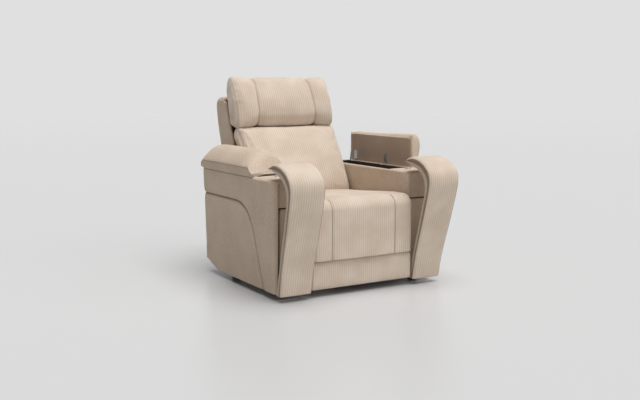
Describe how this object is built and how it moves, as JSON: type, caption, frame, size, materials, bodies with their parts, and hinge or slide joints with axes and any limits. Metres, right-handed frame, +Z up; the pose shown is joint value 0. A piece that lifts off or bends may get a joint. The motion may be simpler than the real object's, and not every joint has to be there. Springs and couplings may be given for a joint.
{
  "type": "power recliner armchair",
  "caption": "Upholstered power recliner armchair with scroll arm fronts, lidded storage arms, lifting footrest, reclining back and tilting headrest.",
  "frame": {"origin": "on the floor, midway between the arms, under the middle of the chair's depth", "axes": "+X to the right as seen from in front, +Y to the rear, +Z up"},
  "size_m": [1.056, 1.1645, 1.0099],
  "materials": {
    "rib_cloth": "ribbed beige cloth",
    "plain_cloth": "plain beige weave",
    "lining": "black webbing",
    "plywood": "raw plywood",
    "steel": "black powder coat",
    "bright_steel": "zinc plated",
    "chrome": "polished",
    "black_plastic": "moulded, matt",
    "button_plastic": "silver"
  },
  "bodies": {
    "base": {"glides": "black_plastic", "cross_tubes": "steel", "mechanism_plates": "steel", "seat_frame": "plywood", "seat_webbing": "lining", "seat_cushion": "rib_cloth", "rear_skirt": "plain_cloth", "footrest_drive_rail": "bright_steel", "footrest_drive_motor": "black_plastic", "back_drive_rail": "bright_steel", "back_drive_motor": "black_plastic", "left_arm_frame": "plywood", "right_arm_frame": "plywood", "left_arm_inner_panel": "plain_cloth", "right_arm_inner_panel": "plain_cloth", "left_arm_outer_panel": "plain_cloth", "right_arm_outer_panel": "plain_cloth", "left_arm_yoke": "plain_cloth", "right_arm_yoke": "plain_cloth", "left_arm_shelf_cover": "plain_cloth", "right_arm_shelf_cover": "plain_cloth", "left_arm_facing": "plain_cloth", "right_arm_facing": "plain_cloth", "left_arm_band": "rib_cloth", "right_arm_band": "rib_cloth", "left_storage_bin": "black_plastic", "right_storage_bin": "black_plastic", "left_control_cup": "chrome", "right_control_cup": "chrome", "left_lid_hinge_leaves": "steel", "right_lid_hinge_leaves": "steel"},
    "back": {"back_torque_tube": "steel", "back_uprights": "plywood", "back_rails": "plywood", "back_shell": "plain_cloth", "lumbar_cushion": "rib_cloth", "headrest_brackets": "steel"},
    "headrest": {"headrest_board": "plywood", "headrest_ears": "steel", "headrest_cushion": "rib_cloth"},
    "footrest": {"footrest_board": "plywood", "footrest_pad": "rib_cloth", "footrest_lower_pad": "rib_cloth", "footrest_brackets": "steel"},
    "crank": {"crank_shaft": "steel"},
    "footrest_slider": {"footrest_drive_slider": "black_plastic"},
    "back_slider": {"back_drive_slider": "black_plastic"},
    "left_link": {"left_push_link": "steel"},
    "left_lid": {"left_lid_board": "plywood", "left_lid_pad": "plain_cloth", "left_lid_hinge_arms": "steel"},
    "left_front_button": {"left_button_front": "button_plastic"},
    "left_rear_button": {"left_button_rear": "button_plastic"},
    "right_link": {"right_push_link": "steel"},
    "right_lid": {"right_lid_board": "plywood", "right_lid_pad": "plain_cloth", "right_lid_hinge_arms": "steel"},
    "right_front_button": {"right_button_front": "button_plastic"},
    "right_rear_button": {"right_button_rear": "button_plastic"}
  },
  "joints": [
    {"name": "back_recline", "type": "hinge", "parent": "base", "child": "back", "pos_m": [0, 0.165, 0.33], "axis": [-1, 0, 0], "range_deg": [0, 35]},
    {"name": "headrest_tilt", "type": "hinge", "parent": "back", "child": "headrest", "pos_m": [0, 0.375, 0.806], "axis": [1, 0, 0], "range_deg": [0, 35]},
    {"name": "footrest_lift", "type": "hinge", "parent": "base", "child": "footrest", "pos_m": [0, -0.403, 0.403], "axis": [-1, 0, 0], "range_deg": [0, 80]},
    {"name": "crank_turn", "type": "hinge", "parent": "base", "child": "crank", "pos_m": [0, -0.188, 0.265], "axis": [-1, 0, 0], "range_deg": [0, 80]},
    {"name": "footrest_drive", "type": "slide", "parent": "base", "child": "footrest_slider", "axis": [0, -1, 0], "range_m": [0, 0.10089]},
    {"name": "back_drive", "type": "slide", "parent": "base", "child": "back_slider", "axis": [0, -1, 0], "range_m": [0, 0.07902]},
    {"name": "left_lid_open", "type": "hinge", "parent": "base", "child": "left_lid", "pos_m": [-0.457, 0, 0.553], "axis": [0, -1, 0], "range_deg": [0, 90]},
    {"name": "right_lid_open", "type": "hinge", "parent": "base", "child": "right_lid", "pos_m": [0.457, 0, 0.553], "axis": [0, 1, 0], "range_deg": [-90, 0]},
    {"name": "left_link_pivot", "type": "hinge", "parent": "crank", "child": "left_link", "pos_m": [0, -0.153, 0.205], "axis": [-1, 0, 0], "range_deg": [-80, 0]},
    {"name": "left_front_button_press", "type": "slide", "parent": "base", "child": "left_front_button", "axis": [0, 0, -1], "range_m": [0, 0.0015], "stiffness_N_per_m": 900},
    {"name": "left_rear_button_press", "type": "slide", "parent": "base", "child": "left_rear_button", "axis": [0, 0, -1], "range_m": [0, 0.0015], "stiffness_N_per_m": 900},
    {"name": "right_link_pivot", "type": "hinge", "parent": "crank", "child": "right_link", "pos_m": [0, -0.153, 0.205], "axis": [-1, 0, 0], "range_deg": [-80, 0]},
    {"name": "right_front_button_press", "type": "slide", "parent": "base", "child": "right_front_button", "axis": [0, 0, -1], "range_m": [0, 0.0015], "stiffness_N_per_m": 900},
    {"name": "right_rear_button_press", "type": "slide", "parent": "base", "child": "right_rear_button", "axis": [0, 0, -1], "range_m": [0, 0.0015], "stiffness_N_per_m": 900}
  ],
  "couplings": [
    {"joint": "crank_turn", "follows": "footrest_lift", "ratio": 1},
    {"joint": "left_link_pivot", "follows": "footrest_lift", "ratio": -1},
    {"joint": "right_link_pivot", "follows": "footrest_lift", "ratio": -1},
    {"joint": "footrest_drive", "follows": "footrest_lift", "m_per_rad": 0.072115},
    {"joint": "back_drive", "follows": "back_recline", "m_per_rad": 0.12904}
  ]
}
